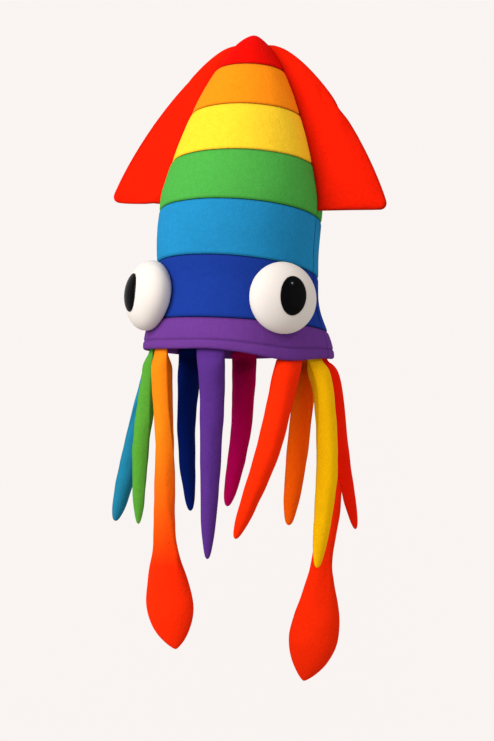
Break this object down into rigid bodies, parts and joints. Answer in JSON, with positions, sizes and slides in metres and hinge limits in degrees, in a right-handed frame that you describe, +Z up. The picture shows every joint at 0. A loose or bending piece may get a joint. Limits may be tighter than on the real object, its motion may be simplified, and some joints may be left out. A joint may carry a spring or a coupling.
{
  "type": "squid hat",
  "caption": "Striped fleece squid hat with a stuffed crown, side fins, bulging eyes and hanging stuffed arms.",
  "frame": {"origin": "centre of the hem's lower edge, where the head goes in", "axes": "+Z up the crown, -Y the front (the face), +X the wearer's left"},
  "size_m": [0.293, 0.1907, 0.6497],
  "materials": {
    "purple_fleece": "matte",
    "royal_blue_fleece": "matte",
    "sky_blue_fleece": "matte",
    "green_fleece": "matte",
    "yellow_fleece": "matte",
    "orange_fleece": "matte",
    "red_fleece": "matte",
    "fin_fleece": "matte",
    "violet_fleece": "matte",
    "red_orange_fleece": "matte",
    "amber_fleece": "matte",
    "scarlet_fleece": "matte",
    "dark_orange_fleece": "matte",
    "magenta_fleece": "matte",
    "navy_fleece": "matte",
    "teal_fleece": "matte",
    "leaf_green_fleece": "matte",
    "tentacle_orange_fleece": "matte",
    "tentacle_red_fleece": "matte",
    "eye_fleece": "matte",
    "pupil": "gloss",
    "lining_fleece": "matte",
    "fibre_filling": "matte"
  },
  "bodies": {
    "hat": {"brim_front_panel": "purple_fleece", "brim_back_panel": "purple_fleece", "royal_blue_front_panel": "royal_blue_fleece", "royal_blue_back_panel": "royal_blue_fleece", "sky_blue_front_panel": "sky_blue_fleece", "sky_blue_back_panel": "sky_blue_fleece", "green_front_panel": "green_fleece", "green_back_panel": "green_fleece", "yellow_front_panel": "yellow_fleece", "yellow_back_panel": "yellow_fleece", "orange_front_panel": "orange_fleece", "orange_back_panel": "orange_fleece", "crown_tip_front_panel": "red_fleece", "crown_tip_back_panel": "red_fleece", "hem_fold": "purple_fleece", "lining": "lining_fleece", "crown_stuffing": "fibre_filling", "left_eye_cover": "eye_fleece", "left_eye_stuffing": "fibre_filling", "left_pupil": "pupil", "right_eye_cover": "eye_fleece", "right_eye_stuffing": "fibre_filling", "right_pupil": "pupil"},
    "left_fin": {"left_fin_front_panel": "fin_fleece", "left_fin_back_panel": "fin_fleece", "left_fin_wadding": "fibre_filling"},
    "right_fin": {"right_fin_front_panel": "fin_fleece", "right_fin_back_panel": "fin_fleece", "right_fin_wadding": "fibre_filling"},
    "purple_arm": {"purple_arm_sleeve": "violet_fleece", "purple_arm_filling": "fibre_filling"},
    "red_orange_arm": {"red_orange_arm_sleeve": "red_orange_fleece", "red_orange_arm_filling": "fibre_filling"},
    "yellow_arm": {"yellow_arm_sleeve": "amber_fleece", "yellow_arm_filling": "fibre_filling"},
    "red_arm": {"red_arm_sleeve": "scarlet_fleece", "red_arm_filling": "fibre_filling"},
    "orange_arm": {"orange_arm_sleeve": "dark_orange_fleece", "orange_arm_filling": "fibre_filling"},
    "magenta_arm": {"magenta_arm_sleeve": "magenta_fleece", "magenta_arm_filling": "fibre_filling"},
    "navy_arm": {"navy_arm_sleeve": "navy_fleece", "navy_arm_filling": "fibre_filling"},
    "teal_arm": {"teal_arm_sleeve": "teal_fleece", "teal_arm_filling": "fibre_filling"},
    "green_arm": {"green_arm_sleeve": "leaf_green_fleece", "green_arm_filling": "fibre_filling"},
    "orange_tentacle": {"orange_tentacle_sleeve": "tentacle_orange_fleece", "orange_tentacle_filling": "fibre_filling"},
    "red_tentacle": {"red_tentacle_sleeve": "tentacle_red_fleece", "red_tentacle_filling": "fibre_filling"}
  },
  "joints": [
    {"name": "left_fin_flap", "type": "hinge", "parent": "hat", "child": "left_fin", "pos_m": [-0.04616, 0.00098, 0.22963], "axis": [-0.3732, -0.1225, -0.9197], "range_deg": [-30, 12], "stiffness_Nm_per_rad": 0.05},
    {"name": "right_fin_flap", "type": "hinge", "parent": "hat", "child": "right_fin", "pos_m": [0.05297, 0.00064, 0.22665], "axis": [-0.3598, 0.1225, 0.925], "range_deg": [-30, 12], "stiffness_Nm_per_rad": 0.05},
    {"name": "purple_arm_swing", "type": "hinge", "parent": "hat", "child": "purple_arm", "pos_m": [0.0045, -0.08581, -0.00221], "axis": [-0.9986, -0.0523, 0], "range_deg": [-8, 75]},
    {"name": "red_orange_arm_swing", "type": "hinge", "parent": "hat", "child": "red_orange_arm", "pos_m": [0.07213, -0.0468, -0.00423], "axis": [-0.5446, -0.8387, 0], "range_deg": [-8, 75]},
    {"name": "yellow_arm_swing", "type": "hinge", "parent": "hat", "child": "yellow_arm", "pos_m": [0.08516, -0.01196, -0.005], "axis": [-0.1392, -0.9903, 0], "range_deg": [-8, 55]},
    {"name": "red_arm_swing", "type": "hinge", "parent": "hat", "child": "red_arm", "pos_m": [0.08412, 0.01787, -0.00584], "axis": [0.2079, -0.9781, 0], "range_deg": [-8, 55]},
    {"name": "orange_arm_swing", "type": "hinge", "parent": "hat", "child": "orange_arm", "pos_m": [0.04429, 0.07366, -0.00862], "axis": [0.8572, -0.515, 0], "range_deg": [-8, 75]},
    {"name": "magenta_arm_swing", "type": "hinge", "parent": "hat", "child": "magenta_arm", "pos_m": [-0.02514, 0.08218, -0.00842], "axis": [0.9563, 0.2924, 0], "range_deg": [-8, 75]},
    {"name": "navy_arm_swing", "type": "hinge", "parent": "hat", "child": "navy_arm", "pos_m": [-0.07213, 0.0468, -0.00718], "axis": [0.5446, 0.8387, 0], "range_deg": [-8, 75]},
    {"name": "teal_arm_swing", "type": "hinge", "parent": "hat", "child": "teal_arm", "pos_m": [-0.08595, -0.003, -0.005], "axis": [-0.0349, 0.9994, 0], "range_deg": [-8, 55]},
    {"name": "green_arm_swing", "type": "hinge", "parent": "hat", "child": "green_arm", "pos_m": [-0.07794, -0.03632, -0.00366], "axis": [-0.4226, 0.9063, 0], "range_deg": [-8, 75]},
    {"name": "orange_tentacle_swing", "type": "hinge", "parent": "hat", "child": "orange_tentacle", "pos_m": [-0.05642, -0.06485, -0.00269], "axis": [-0.7547, 0.6561, 0], "range_deg": [-8, 75]},
    {"name": "red_tentacle_swing", "type": "hinge", "parent": "hat", "child": "red_tentacle", "pos_m": [0.0713, 0.04805, -0.00723], "axis": [0.5592, -0.829, 0], "range_deg": [-8, 75]}
  ]
}
